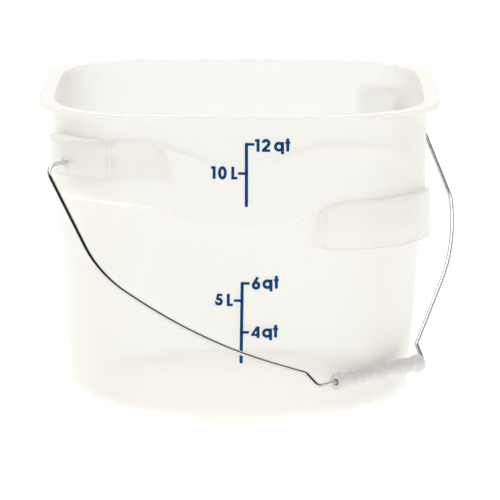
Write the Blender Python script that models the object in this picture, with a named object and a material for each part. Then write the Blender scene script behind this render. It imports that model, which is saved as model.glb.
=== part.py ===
"""A food storage pail: a square-rimmed, round-bodied plastic tub with a wire bail and a plastic grip.

The pail stands on its flat base at the origin, +Z up, with its front face towards -Y.
Its two bail ears sit on the front-left and back-right corners, and its two hand holds on the others.
"""

import math

import bmesh
import bpy
from mathutils import Vector

# Pail: overall size and walls
RIM_HALF_WIDTH = 0.144
PAIL_HEIGHT = 0.226
WALL = 0.0022
FLOOR_THICKNESS = 0.0028

# Rim flange
FLANGE_OVERHANG = 0.009
FLANGE_THICKNESS = 0.0024
FLANGE_FILLET = 0.0018
LIP_WIDTH = 0.0018
LIP_DROP = 0.0012
EDGE_RADIUS = 0.001

# Upper band, a square with large corners and slightly bowed sides
BAND_CORNER_RADIUS = 0.065
BAND_DRAFT = 0.0005
BOW_SHARE = 0.031

# Shoulder under the band, low in the middle of each face and high at the corners
BAND_DEPTH_AT_FACE = 0.081
BAND_DEPTH_AT_CORNER = 0.062
STEP_RISE_SHARE = 0.645
SHOULDER_HOLLOW_SHARE = 0.8
SHOULDER_FALL_SHARE = 0.25
SHOULDER_EDGE_SHARE = 0.13

# Lower body, almost round
SHOULDER_DEPTH_AT_FACE = 0.0017
LOWER_TAPER = 0.0097
LOWER_ROUND_SHARE = 0.975
FOOT_RADIUS = 0.014

# Bail ears, pockets that are open underneath
EAR_SETBACK = 0.001
EAR_END = 0.0896
EAR_END_RADIUS = 0.003
EAR_TOP_BELOW_RIM = 0.0193
EAR_HEIGHT = 0.0257
EAR_TOP_RADIUS = 0.0045
EAR_WALL = 0.0022

# Hand holds, curtain walls that hang from the shoulder
HOLD_PROUD = 0.0014
HOLD_FLARE = 0.0012
HOLD_END = 0.051
HOLD_END_RUN = 0.0105
HOLD_LEAN_SHARE = 0.95
HOLD_CORNER_RADIUS = 0.003
HOLD_DROP = 0.033
HOLD_WALL = 0.0022
HOLD_LAP = 0.0012
HOLD_SEAT = 0.003
HOLD_TOP_RADIUS = 0.0014
HOLD_TOP_ROUNDING = 0.004
HOLD_FACE_SHARES = (0, 0.35, 0.6, 0.8)

# Wire bail: its arms lie in one plane, as shares of its half span and its reach
WIRE_DIAMETER = 0.003
PIVOT_BELOW_EAR_TOP = 0.0167
HOLE_CLEARANCE = 0.0015
HOLE_LIFT = 0.0008
ELBOW_STAND_OFF = 0.018
GRIP_BEYOND_RIM = 0.0392
NEAR_ARM_SHARES = ((1.0062, 0), (1.0194, 0.4378), (0.7173, 0.7553), (0.3131, 0.9432))
FAR_ARM_SHARES = ((0.9898, 0), (0.9084, 0.3944), (0.7822, 0.591), (0.3025, 0.9289))
ELBOW_BEND_RADIUS = 0.0113
NEAR_KNEE_RADIUS = 0.058
NEAR_SWEEP_RADIUS = 0.294
FAR_KNEE_RADIUS = 0.0315
FAR_SWEEP_RADIUS = 0.21
JOG_BEND_RADIUS = 0.004
HOOK_DEPTH = 0.0062
HOOK_BEND_RADIUS = 0.003
HOOK_TIP = 0.0105

# Grip, turned, loose on the straight of the wire
GRIP_LENGTH = 0.088
GRIP_SLIDE = 0.007
GRIP_RADIUS = 0.0066
GRIP_BORE_CLEARANCE = 0.0006
REST_GAP = 0.0003
GRIP_PROFILE_SHARES = (
    (0.0, 0.86),
    (0.012, 0.98),
    (0.03, 1.0),
    (0.055, 0.98),
    (0.075, 0.84),
    (0.1, 0.79),
    (0.15, 0.85),
    (0.25, 0.93),
    (0.33, 0.91),
    (0.405, 0.8),
    (0.43, 0.79),
    (0.45, 0.88),
    (0.475, 0.98),
    (0.5, 1.0),
)

# How finely the shapes are divided
RING_POINTS = 72
FILLET_STEPS = 4
SHOULDER_STEPS = 4
EAR_ARC_STEPS = 10
HOLD_ARC_STEPS = 14
GRIP_SIDES = 24
HOLE_SIDES = 16
BEND_STEP_ANGLE = math.radians(9)
CUT_OVERRUN = 0.006
SAME_PLACE = 0.000001

BAND_HALF_WIDTH = RIM_HALF_WIDTH - FLANGE_OVERHANG
STEP_HEIGHT_AT_FACE = PAIL_HEIGHT - BAND_DEPTH_AT_FACE
STEP_HEIGHT_AT_CORNER = PAIL_HEIGHT - BAND_DEPTH_AT_CORNER
LOWER_TOP_HALF_WIDTH = BAND_HALF_WIDTH - SHOULDER_DEPTH_AT_FACE
LOWER_FOOT_HALF_WIDTH = LOWER_TOP_HALF_WIDTH - LOWER_TAPER
HOLD_FOOT_HEIGHT = STEP_HEIGHT_AT_CORNER - HOLD_DROP
HALF_TURN = math.pi
QUARTER_TURN = math.pi / 2
EIGHTH_TURN = math.pi / 4
EAR_TOP = PAIL_HEIGHT - EAR_TOP_BELOW_RIM
EAR_FOOT = EAR_TOP - EAR_HEIGHT
PIVOT_HEIGHT = EAR_TOP - PIVOT_BELOW_EAR_TOP
WIRE_RADIUS = WIRE_DIAMETER / 2


def folded(angle):
    """The angle from the nearest face's middle, between nothing and an eighth of a turn."""
    within = angle % QUARTER_TURN
    return min(within, QUARTER_TURN - within)


def square_reach(angle, half_width, corner_radius):
    """How far from the axis a square with rounded corners lies, in one direction."""
    turn = folded(angle)
    centre = half_width - corner_radius
    if half_width * math.tan(turn) <= centre:
        return half_width / math.cos(turn)
    across = centre * (math.cos(turn) + math.sin(turn))
    return across + math.sqrt(corner_radius**2 - centre**2 * (1 - math.sin(2 * turn)))


def band_reach(angle, height, out=0.0):
    """The upper band's outline, or one that lies further out or in from it."""
    below_rim = (PAIL_HEIGHT - height) / (PAIL_HEIGHT - STEP_HEIGHT_AT_FACE)
    half_width = BAND_HALF_WIDTH + out - BAND_DRAFT * below_rim
    bow = 1 - BOW_SHARE * math.sin(2 * folded(angle)) ** 4
    return bow * square_reach(angle, half_width, BAND_CORNER_RADIUS + out)


def lower_reach(angle, height, out=0.0):
    """The lower body's outline, almost a circle that widens towards the shoulder."""
    share = height / STEP_HEIGHT_AT_FACE
    half_width = LOWER_FOOT_HALF_WIDTH + (LOWER_TOP_HALF_WIDTH - LOWER_FOOT_HALF_WIDTH) * share + out
    return square_reach(angle, half_width, LOWER_ROUND_SHARE * half_width)


def step_height(angle):
    """Where the band's lower edge lies: low at a face's middle, high at a corner."""
    along = math.tan(folded(angle))
    share = min(along / STEP_RISE_SHARE, 1)
    rise = (1 - math.cos(math.pi * share)) / 2
    return STEP_HEIGHT_AT_FACE + (STEP_HEIGHT_AT_CORNER - STEP_HEIGHT_AT_FACE) * rise


def shoulder(angle):
    """The shoulder's three turning points in one direction: foot, hollow's end and band edge."""
    edge_height = step_height(angle)
    band = band_reach(angle, edge_height)
    depth = band - lower_reach(angle, edge_height)
    hollow_height = edge_height - SHOULDER_EDGE_SHARE * depth
    foot_height = hollow_height - SHOULDER_FALL_SHARE * depth
    foot = lower_reach(angle, foot_height)
    hollow = foot + SHOULDER_HOLLOW_SHARE * (band - foot)
    return (foot, foot_height), (hollow, hollow_height), (band, edge_height)


def shoulder_curve(angle):
    """Points up the shoulder's outside as (reach, height): a hollow and then a rounded edge."""
    foot, hollow, band = shoulder(angle)
    points = []
    for step in range(SHOULDER_STEPS + 1):
        turn = QUARTER_TURN * step / SHOULDER_STEPS
        reach = foot[0] + (hollow[0] - foot[0]) * (1 - math.cos(turn))
        points.append((reach, foot[1] + (hollow[1] - foot[1]) * math.sin(turn)))
    for step in range(1, SHOULDER_STEPS):
        turn = QUARTER_TURN * step / (SHOULDER_STEPS - 1)
        reach = hollow[0] + (band[0] - hollow[0]) * math.sin(turn)
        points.append((reach, hollow[1] + (band[1] - hollow[1]) * (1 - math.cos(turn))))
    return points


def underside(angle, reach):
    """The height of the shoulder's outside above one place in plan."""
    foot, hollow, band = shoulder(angle)
    if reach <= foot[0]:
        return foot[1]
    if reach <= hollow[0]:
        share = (reach - foot[0]) / (hollow[0] - foot[0])
        return foot[1] + (hollow[1] - foot[1]) * math.sqrt(1 - (1 - share) ** 2)
    share = min((reach - hollow[0]) / (band[0] - hollow[0]), 1)
    return hollow[1] + (band[1] - hollow[1]) * (1 - math.sqrt(1 - share**2))


def flange_profile():
    """The rim's section as (out from the band, down from the top), from its fillet to the inside."""
    under = FLANGE_THICKNESS
    lip = under + LIP_DROP
    points = []
    for step in range(3):
        turn = QUARTER_TURN * step / 2
        points.append((FLANGE_FILLET * (1 - math.cos(turn)), under + FLANGE_FILLET * (1 - math.sin(turn))))
    points.append((FLANGE_OVERHANG - LIP_WIDTH, under))
    points.append((FLANGE_OVERHANG - LIP_WIDTH, lip))
    points.append((FLANGE_OVERHANG, lip))
    for step in range(3):
        turn = QUARTER_TURN * step / 2
        out = FLANGE_OVERHANG - EDGE_RADIUS * (1 - math.cos(turn))
        points.append((out, EDGE_RADIUS * (1 - math.sin(turn))))
    for step in range(3):
        turn = QUARTER_TURN * step / 2
        points.append((EDGE_RADIUS * (1 - math.sin(turn)) - WALL, EDGE_RADIUS * (1 - math.cos(turn))))
    return points


def on_ring(reach_and_height):
    """A closed ring of points, from a function that gives the reach and height at each angle."""
    ring = []
    for index in range(RING_POINTS):
        angle = 2 * math.pi * index / RING_POINTS
        reach, height = reach_and_height(angle)
        ring.append(Vector((reach * math.cos(angle), reach * math.sin(angle), height)))
    return ring


def foot_ring(turn, radius, floor, out):
    """One ring of the rounded edge between the base and the wall."""
    height = floor + radius * (1 - math.cos(turn))
    inset = radius * (1 - math.sin(turn))
    return on_ring(lambda angle: (lower_reach(angle, height, out) - inset, height))


def pail_rings():
    """Rings from the base's edge up the outside, over the rim and down the inside to the floor."""
    outside = []
    for index in range(FILLET_STEPS + 1):
        outside.append(foot_ring(QUARTER_TURN * index / FILLET_STEPS, FOOT_RADIUS, 0, 0))
    for index in range(2 * SHOULDER_STEPS):
        outside.append(on_ring(lambda angle, i=index: shoulder_curve(angle)[i]))
    rim = []
    for out, down in flange_profile():
        height = PAIL_HEIGHT - down
        rim.append(on_ring(lambda angle, o=out, h=height: (band_reach(angle, h, o), h)))
    inside = []
    for index in reversed(range(2 * SHOULDER_STEPS)):
        def inner_point(angle, i=index):
            reach, height = shoulder_curve(angle)[i]
            return reach - WALL, height + WALL
        inside.append(on_ring(inner_point))
    inner_radius = FOOT_RADIUS - WALL
    for index in reversed(range(FILLET_STEPS + 1)):
        turn = QUARTER_TURN * index / FILLET_STEPS
        inside.append(foot_ring(turn, inner_radius, FLOOR_THICKNESS, -WALL))
    return outside + rim + inside


def rounded(corners, steps=None):
    """A path through (point, bend radius) corners, each bend an arc between its two straights."""
    points = [corners[0][0]]
    for before, (corner, radius), after in zip(corners, corners[1:], corners[2:]):
        back = (before[0] - corner).normalized()
        ahead = (after[0] - corner).normalized()
        half_angle = back.angle(ahead) / 2
        turn = math.pi - 2 * half_angle
        count = steps or max(2, round(turn / BEND_STEP_ANGLE))
        middle = corner + (back + ahead).normalized() * (radius / math.sin(half_angle))
        start = corner + back * (radius / math.tan(half_angle)) - middle
        side = back * -radius
        for step in range(count + 1):
            along = turn * step / count
            place = middle + start * math.cos(along) + side * math.sin(along)
            if (place - points[-1]).length > SAME_PLACE:
                points.append(place)
    points.append(corners[-1][0])
    return points


def ear_sizes(inset):
    """The ear's outline in plan, drawn in by an inset: its faces, its ends and the two radii."""
    face = BAND_HALF_WIDTH - EAR_SETBACK - inset
    end = EAR_END + inset
    end_radius = max(EAR_END_RADIUS - inset, EDGE_RADIUS / 2)
    return face, end, end_radius, face - end - end_radius


def wall_angle(side):
    """The direction in which the middle of the band's wall lies as far to the side as given."""
    low, high = 0.0, EIGHTH_TURN
    for _ in range(40):
        middle = (low + high) / 2
        if band_reach(middle, EAR_FOOT, -WALL / 2) * math.sin(middle) < side:
            low = middle
        else:
            high = middle
    return low


def ear_ring(inset, height):
    """One level of the ear's solid, from its outline back to the middle of the band's wall."""
    face, end, end_radius, corner_radius = ear_sizes(inset)
    first = wall_angle(end + EAR_WALL / 2)
    turns = [first + (QUARTER_TURN - 2 * first) * i / EAR_ARC_STEPS for i in range(EAR_ARC_STEPS + 1)]
    seat = []
    for turn in turns:
        reach = band_reach(turn, height, -WALL / 2)
        seat.append(Vector((reach * math.cos(turn), reach * math.sin(turn), height)))
    corners = [
        (Vector((end, seat[-1].y, height)), 0),
        (Vector((end, face, height)), end_radius),
        (Vector((face, face, height)), corner_radius),
        (Vector((face, end, height)), end_radius),
        (Vector((seat[0].x, end, height)), 0),
    ]
    return rounded(corners, EAR_ARC_STEPS) + seat


def pocket_ring(inset, height):
    """One level of the ear's hollow, open towards the pail's axis."""
    face, end, end_radius, corner_radius = ear_sizes(EAR_WALL + inset)
    corners = [
        (Vector((end, end, height)), 0),
        (Vector((end, face, height)), end_radius),
        (Vector((face, face, height)), corner_radius),
        (Vector((face, end, height)), end_radius),
        (Vector((end, end, height)), 0),
    ]
    return rounded(corners, EAR_ARC_STEPS)[:-1]


def hold_seat(end, height):
    """Where the end wall of a hand hold meets the middle of the lower wall, in plan."""
    angle = math.atan2(LOWER_TOP_HALF_WIDTH, end)
    reach = lower_reach(angle, height, -WALL / 2)
    return Vector((end, math.sqrt(reach**2 - end**2), 0))


def hold_line(inset, share):
    """A line round the curtain wall, some share of the way from its foot to its seat.

    The end walls lean: at the foot they run out from the body at a slant, and at the seat almost squarely.
    """
    face = BAND_HALF_WIDTH + HOLD_PROUD
    lean = HOLD_LEAN_SHARE * (1 - math.sqrt(1 - share**2))
    end = HOLD_END + HOLD_END_RUN * lean
    slant = math.atan2(face - math.sqrt(LOWER_TOP_HALF_WIDTH**2 - end**2), HOLD_END_RUN * (1 - lean))
    end += inset / math.sin(slant)
    corner = HOLD_END + HOLD_END_RUN + inset * math.tan(slant / 2)
    face -= inset
    radius = max(HOLD_CORNER_RADIUS - inset, EDGE_RADIUS / 2)
    angle = math.atan2(LOWER_TOP_HALF_WIDTH, end)
    end_top = underside(angle, LOWER_TOP_HALF_WIDTH) + HOLD_LAP
    end_height = HOLD_FOOT_HEIGHT + (end_top - HOLD_FOOT_HEIGHT) * share
    seat = hold_seat(end, end_height)
    corners = [
        (seat, 0),
        (Vector((corner, face, 0)), radius),
        (Vector((face, face, 0)), face - corner - radius),
        (Vector((face, corner, 0)), radius),
        (Vector((seat.y, seat.x, 0)), 0),
    ]
    line = rounded(corners, HOLD_ARC_STEPS)
    for point in line[1:-1]:
        top = underside(math.atan2(point.y, point.x), point.xy.length) + HOLD_LAP
        point.z = HOLD_FOOT_HEIGHT + (top - HOLD_FOOT_HEIGHT) * share
    line[0].z = line[-1].z = end_height
    return line


def hold_sections():
    """The curtain wall's sections from one end round to the other: outer face, top edge, inner face."""
    height = STEP_HEIGHT_AT_CORNER - HOLD_FOOT_HEIGHT
    lines = [hold_line(-HOLD_FLARE * (1 - share), share) for share in HOLD_FACE_SHARES]
    for step in range(3):
        turn = QUARTER_TURN * step / 2
        share = 1 - HOLD_TOP_ROUNDING * (1 - math.sin(turn)) / height
        lines.append(hold_line(HOLD_TOP_RADIUS * (1 - math.cos(turn)) - HOLD_FLARE * (1 - share), share))
    lines.append(hold_line(HOLD_WALL + HOLD_SEAT, 1))
    lines.append(hold_line(HOLD_WALL, 1 - HOLD_SEAT / height))
    for share in reversed(HOLD_FACE_SHARES):
        lines.append(hold_line(HOLD_WALL - HOLD_FLARE * (1 - share), share))
    return [list(section) for section in zip(*lines)]


def lofted(name, rings):
    """A closed mesh through rings of as many points each, capped at both ends."""
    shape = bmesh.new()
    levels = [[shape.verts.new(point) for point in ring] for ring in rings]
    for low, high in zip(levels, levels[1:]):
        for index, corner in enumerate(low):
            after = (index + 1) % len(low)
            shape.faces.new((corner, low[after], high[after], high[index]))
    shape.faces.new(list(reversed(levels[0])))
    shape.faces.new(levels[-1])
    bmesh.ops.recalc_face_normals(shape, faces=shape.faces)
    mesh = bpy.data.meshes.new(name)
    shape.to_mesh(mesh)
    shape.free()
    mesh.shade_smooth()
    mesh.set_sharp_from_angle(angle=EIGHTH_TURN)
    return mesh


def placed(name, data, helper=False):
    """An object in the scene; a helper only shapes another one."""
    thing = bpy.data.objects.new(name, data)
    bpy.context.scene.collection.objects.link(thing)
    thing.hide_render = helper
    if helper:
        thing.display_type = "WIRE"
    return thing


def boolean(target, tool, operation):
    step = target.modifiers.new(tool.name, "BOOLEAN")
    step.operation = operation
    step.object = tool
    step.solver = "EXACT"


def material(name, colour, roughness, metallic=0.0):
    finish = bpy.data.materials.new(name)
    finish.use_nodes = True
    shader = finish.node_tree.nodes["Principled BSDF"]
    shader.inputs["Base Color"].default_value = (*colour, 1)
    shader.inputs["Roughness"].default_value = roughness
    shader.inputs["Metallic"].default_value = metallic
    finish.diffuse_color = (*colour, 1)
    return finish


def ear_diagonal():
    """How far the ear's outer face lies from the pail's axis on the diagonal."""
    face, _, _, corner_radius = ear_sizes(0)
    return square_reach(EIGHTH_TURN, face, corner_radius)


def add_ear(pail, name, turn):
    """A bail ear on one corner: a rounded block, its hollow and the hole for the wire."""
    levels = [(0, EAR_FOOT)]
    for step in range(FILLET_STEPS):
        rise = QUARTER_TURN * step / (FILLET_STEPS - 1)
        height = EAR_TOP - EAR_TOP_RADIUS * (1 - math.sin(rise))
        levels.append((EAR_TOP_RADIUS * (1 - math.cos(rise)), height))
    block = placed(name, lofted(name, [ear_ring(inset, height) for inset, height in levels]), helper=True)
    block.rotation_euler.z = turn
    roof = EAR_TOP - EAR_WALL
    inner_radius = EAR_TOP_RADIUS - EDGE_RADIUS
    hollow_levels = [
        (0, EAR_FOOT - CUT_OVERRUN),
        (0, roof - inner_radius),
        (inner_radius, roof),
    ]
    hollow_mesh = lofted(name + "_pocket", [pocket_ring(inset, height) for inset, height in hollow_levels])
    pocket = placed(name + "_pocket", hollow_mesh, helper=True)
    pocket.rotation_euler.z = turn
    face = ear_diagonal()
    radius = WIRE_RADIUS + HOLE_CLEARANCE
    start = face - EAR_WALL - HOOK_DEPTH / 2
    rings = [hole_ring(along, radius) for along in (start, face + CUT_OVERRUN)]
    hole = placed(name + "_hole", lofted(name + "_hole", rings), helper=True)
    hole.rotation_euler.z = turn + EIGHTH_TURN
    boolean(block, pocket, "DIFFERENCE")
    boolean(block, hole, "DIFFERENCE")
    boolean(pail, block, "UNION")


def hole_ring(along, radius):
    """A circle of the wire's hole on X; the wire hangs below its middle."""
    middle = PIVOT_HEIGHT + HOLE_LIFT
    ring = []
    for index in range(HOLE_SIDES):
        angle = 2 * math.pi * index / HOLE_SIDES
        ring.append(Vector((along, radius * math.cos(angle), middle + radius * math.sin(angle))))
    return ring


def add_hold(pail, name, turn):
    """A hand hold on one corner, open underneath for the fingers."""
    curtain = placed(name, lofted(name, hold_sections()), helper=True)
    curtain.rotation_euler.z = turn
    boolean(pail, curtain, "UNION")


def pail_body():
    pail = placed("pail_body", lofted("pail_body", pail_rings()))
    add_ear(pail, "back_right_ear", 0)
    add_ear(pail, "front_left_ear", HALF_TURN)
    add_hold(pail, "back_left_hold", QUARTER_TURN)
    add_hold(pail, "front_right_hold", -QUARTER_TURN)
    pail.data.materials.append(material("pail_plastic", (0.86, 0.86, 0.82), 0.35))
    return pail


def bail_sizes():
    """The bail's half span at its elbows, and its reach from the pivot axis to the grip's axis."""
    rim = band_reach(EIGHTH_TURN, PAIL_HEIGHT, FLANGE_OVERHANG)
    return ear_diagonal() + ELBOW_STAND_OFF, rim + GRIP_BEYOND_RIM


def bail_arm(shares, knee_radius, sweep_radius, side):
    """One arm's corners from its hook's tip to the jog, in the bail's own plane."""
    wall = ear_diagonal()
    half_span, full_reach = bail_sizes()
    tip = wall - EAR_WALL - HOOK_DEPTH
    corners = [
        (Vector((side * tip, 0, -side * HOOK_TIP)), 0),
        (Vector((side * tip, 0, 0)), HOOK_BEND_RADIUS),
    ]
    radii = (ELBOW_BEND_RADIUS, knee_radius, sweep_radius, JOG_BEND_RADIUS)
    for (span, reach), radius in zip(shares, radii):
        corners.append((Vector((side * span * half_span, reach * full_reach, 0)), radius))
    inner = GRIP_LENGTH / 2 + GRIP_SLIDE + JOG_BEND_RADIUS
    corners.append((Vector((side * inner, full_reach, 0)), JOG_BEND_RADIUS))
    return corners


def bail():
    """The wire, bent in one plane about its pivot on X, with both tips turned out of that plane."""
    near = bail_arm(NEAR_ARM_SHARES, NEAR_KNEE_RADIUS, NEAR_SWEEP_RADIUS, -1)
    far = bail_arm(FAR_ARM_SHARES, FAR_KNEE_RADIUS, FAR_SWEEP_RADIUS, 1)
    route = rounded(near + far[::-1])
    curve = bpy.data.curves.new("bail", "CURVE")
    curve.dimensions = "3D"
    curve.bevel_depth = WIRE_RADIUS
    curve.bevel_resolution = 3
    curve.use_fill_caps = True
    line = curve.splines.new("POLY")
    line.points.add(len(route) - 1)
    for point, place in zip(line.points, route):
        point.co = (*place, 1)
    wire = placed("bail", curve)
    wire.location.z = PIVOT_HEIGHT
    wire.rotation_euler = (math.pi + hang_angle(), 0, EIGHTH_TURN)
    curve.materials.append(material("bright_wire", (0.62, 0.62, 0.62), 0.22, 1.0))
    return wire


def hang_angle():
    """How far below level the bail hangs when its grip lies against the pail's corner."""
    _, full_reach = bail_sizes()
    angle = EIGHTH_TURN
    for _ in range(20):
        height = PIVOT_HEIGHT - full_reach * math.sin(angle)
        clear = lower_reach(EIGHTH_TURN, height) + GRIP_RADIUS + REST_GAP
        angle = math.acos(clear / full_reach)
    return angle


def grip_ring(along, radius):
    ring = []
    for index in range(GRIP_SIDES):
        angle = 2 * math.pi * index / GRIP_SIDES
        ring.append(Vector((along, radius * math.cos(angle), radius * math.sin(angle))))
    return ring


def grip(wire):
    """The grip, turned about the straight of the wire: two flanges, two swells and a middle ring."""
    half = [(share * GRIP_LENGTH, radius * GRIP_RADIUS) for share, radius in GRIP_PROFILE_SHARES]
    outline = half + [(GRIP_LENGTH - along, radius) for along, radius in reversed(half[:-1])]
    bore = WIRE_RADIUS + GRIP_BORE_CLEARANCE
    section = outline + [(GRIP_LENGTH, bore), (0, bore)]
    shape = bmesh.new()
    levels = [[shape.verts.new(p) for p in grip_ring(x - GRIP_LENGTH / 2, r)] for x, r in section]
    for low, high in zip(levels, levels[1:] + levels[:1]):
        for index, corner in enumerate(low):
            after = (index + 1) % GRIP_SIDES
            shape.faces.new((corner, low[after], high[after], high[index]))
    bmesh.ops.recalc_face_normals(shape, faces=shape.faces)
    mesh = bpy.data.meshes.new("grip")
    shape.to_mesh(mesh)
    shape.free()
    mesh.shade_smooth()
    mesh.set_sharp_from_angle(angle=EIGHTH_TURN)
    handle = placed("grip", mesh)
    handle.parent = wire
    handle.location = (GRIP_SLIDE, bail_sizes()[1], 0)
    mesh.materials.append(material("grip_plastic", (0.8, 0.8, 0.82), 0.4))
    return handle


def main():
    for thing in list(bpy.data.objects):
        bpy.data.objects.remove(thing)
    pail_body()
    grip(bail())


main()
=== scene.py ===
import math

import bmesh
import bpy
from mathutils import Matrix, Vector


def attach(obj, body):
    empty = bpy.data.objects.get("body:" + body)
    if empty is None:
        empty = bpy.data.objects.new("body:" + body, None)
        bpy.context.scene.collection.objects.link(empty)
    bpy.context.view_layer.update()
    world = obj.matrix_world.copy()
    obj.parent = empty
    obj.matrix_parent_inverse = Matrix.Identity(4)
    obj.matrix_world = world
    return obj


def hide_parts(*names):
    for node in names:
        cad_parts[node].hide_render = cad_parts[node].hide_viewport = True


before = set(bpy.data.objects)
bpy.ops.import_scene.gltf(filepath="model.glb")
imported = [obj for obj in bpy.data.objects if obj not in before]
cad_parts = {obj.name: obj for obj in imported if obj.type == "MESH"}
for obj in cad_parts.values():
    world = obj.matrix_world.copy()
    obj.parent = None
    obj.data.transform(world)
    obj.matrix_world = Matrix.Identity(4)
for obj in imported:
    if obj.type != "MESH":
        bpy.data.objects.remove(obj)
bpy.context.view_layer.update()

# Sizes of the pail, in metres, the same as the solids'
RIM_HALF_WIDTH = 0.144
PAIL_HEIGHT = 0.226
WALL = 0.0022
FLOOR_THICKNESS = 0.0028
FLANGE_OVERHANG = 0.009
FLANGE_THICKNESS = 0.0024
FLANGE_FILLET = 0.0018
LIP_WIDTH = 0.0018
LIP_DROP = 0.0012
EDGE_RADIUS = 0.001
BAND_CORNER_RADIUS = 0.065
BAND_DRAFT = 0.0005
BOW_SHARE = 0.031
BAND_DEPTH_AT_FACE = 0.081
BAND_DEPTH_AT_CORNER = 0.062
STEP_RISE_SHARE = 0.645
SHOULDER_HOLLOW_SHARE = 0.8
SHOULDER_FALL_SHARE = 0.25
SHOULDER_EDGE_SHARE = 0.13
SHOULDER_DEPTH_AT_FACE = 0.0017
LOWER_TAPER = 0.0097
LOWER_ROUND_SHARE = 0.975
FOOT_RADIUS = 0.014
EAR_SETBACK = 0.001
EAR_END = 0.0896
EAR_END_RADIUS = 0.003
EAR_TOP_BELOW_RIM = 0.0193
EAR_HEIGHT = 0.0257
EAR_TOP_RADIUS = 0.0045
EAR_WALL = 0.0022
HOLD_PROUD = 0.0014
HOLD_FLARE = 0.0012
HOLD_END = 0.051
HOLD_END_RUN = 0.0105
HOLD_LEAN_SHARE = 0.95
HOLD_CORNER_RADIUS = 0.003
HOLD_DROP = 0.033
HOLD_WALL = 0.0022
HOLD_LAP = 0.0012
HOLD_SEAT = 0.003
HOLD_TOP_RADIUS = 0.0014
HOLD_TOP_ROUNDING = 0.004
HOLD_FACE_SHARES = (0, 0.15, 0.3, 0.45, 0.6, 0.7, 0.8)

# Sizes of the bail and its grip
WIRE_DIAMETER = 0.003
PIVOT_BELOW_EAR_TOP = 0.0167
HOLE_CLEARANCE = 0.0015
HOLE_LIFT = 0.0008
ELBOW_STAND_OFF = 0.018
GRIP_BEYOND_RIM = 0.0392
NEAR_ARM_SHARES = ((1.0062, 0), (1.0194, 0.4378), (0.7173, 0.7553), (0.3131, 0.9432))
FAR_ARM_SHARES = ((0.9898, 0), (0.9084, 0.3944), (0.7822, 0.591), (0.3025, 0.9289))
ELBOW_BEND_RADIUS = 0.0113
NEAR_KNEE_RADIUS = 0.058
NEAR_SWEEP_RADIUS = 0.294
FAR_KNEE_RADIUS = 0.0315
FAR_SWEEP_RADIUS = 0.21
JOG_BEND_RADIUS = 0.004
HOOK_DEPTH = 0.0062
HOOK_BEND_RADIUS = 0.003
HOOK_TIP = 0.0105
GRIP_LENGTH = 0.088
GRIP_SLIDE = 0.007
GRIP_RADIUS = 0.0066
GRIP_BORE_CLEARANCE = 0.0006
GRIP_BORE_ROUNDING = 0.0004
REST_GAP = 0.0003
GRIP_PROFILE_SHARES = (
    (0.0, 0.86), (0.012, 0.98), (0.03, 1.0), (0.055, 0.98), (0.075, 0.84), (0.1, 0.79), (0.15, 0.85),
    (0.25, 0.93), (0.33, 0.91), (0.405, 0.8), (0.43, 0.79), (0.45, 0.88), (0.475, 0.98), (0.5, 1.0),
)

# How finely the shown shapes are divided
RING_POINTS = 288
FILLET_STEPS = 10
FLANGE_STEPS = 5
SHOULDER_STEPS = 10
WALL_STEPS = 4
EAR_ARC_STEPS = 24
HOLD_ARC_STEPS = 40
HOLE_SIDES = 40
GRIP_SIDES = 72
WIRE_SIDES = 24
GRIP_SUBSTEPS = 5
BEND_STEP_ANGLE = math.radians(2.5)

# How far a cut runs on past what it cuts, and how near two points are one
CUT_OVERRUN = 0.006
SAME_PLACE = 0.000001

# The greatest angle between two faces that are shaded as one smooth surface
SMOOTH_BELOW = math.radians(32)
GRIP_SMOOTH_BELOW = math.radians(50)

# Rounds of the searches for a place on a wall, for the hanging bail and for the ink on the wall
WALL_SEARCH_ROUNDS = 40
HANG_ROUNDS = 20
INK_ROUNDS = 8

# The camera, square to the front face and looking a little down on the pail
CAMERA_TARGET = Vector((0.00768, 0, 0.1037))
CAMERA_DISTANCE = 2.736
CAMERA_ELEVATION = 0.1956
CAMERA_ROLL = 0.0021
CAMERA_LENS = 267.6
CAMERA_SENSOR = 36
CAMERA_CLIP_START = 0.1
CAMERA_CLIP_END = 100

# The room's light: its middle strength, and how much it gains towards +X, +Y and +Z
ROOM_LIGHT = 0.67
ROOM_LEAN = (-0.05, -0.04, 0.21)

# Gloss sees a white strip in the room's middle, and a dimmer white beyond it to the left and right
WHITE_STRIP_HALF_SHARE = 0.05
DIM_FROM_SHARE = 0.4
GLOSS_DIMMING = 0.4

# The pale floor: its half size, how far it lies under the base, how much light it reflects and
# gives off, and both again for where it is seen
PALE_FLOOR_HALF_SIZE = 6
PALE_FLOOR_DROP = 0.0002
PALE_FLOOR_REFLECTION = 0.9
PALE_FLOOR_GLOW = 0.5
SEEN_FLOOR_REFLECTION = 0.25
SEEN_FLOOR_GLOW = 0.88

# Softboxes: name, place, what it points at, width, height, power, and whether gloss mirrors it
SOFTBOXES = (
    ("key_softbox", (-1.4, -1.3, 1.6), (0, 0, 0.12), 1.2, 1.2, 3, False),
    ("top_softbox", (0, 0.3, 1.9), (0, 0, 0), 1.4, 1.4, 15.5, True),
    ("low_softbox", (1.5, -0.05, 0.3), (0, 0, 0.12), 0.16, 0.3, 0.25, True),
)

# The black curtain: its height and distance, where it starts and ends round the front, in degrees
# from the left, and its steps
FLAG_HEIGHT = 8
FLAG_REACH = 3.2
FLAG_FROM = 10
FLAG_TO = 175
FLAG_STEPS = 24

# Colours, each as the two ends that a pattern mixes
MILKY_COLOURS = (0.935, 0.921, 0.874), (0.945, 0.932, 0.888)
STEEL_COLOURS = (0.66, 0.66, 0.65), (0.76, 0.76, 0.75)
GRIP_COLOURS = (0.7, 0.68, 0.66), (0.75, 0.73, 0.71)
INK_COLOURS = (0.0008, 0.045, 0.15), (0.0015, 0.058, 0.19)

# The pail's opacity face on, and the share of the way to edgeways up to which it holds. At a
# quarter or less the noise filter looks through the wall, and a line shows where that ends
FACE_ON_OPACITY = 0.28
FACE_ON_SHARE = 0.1

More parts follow.
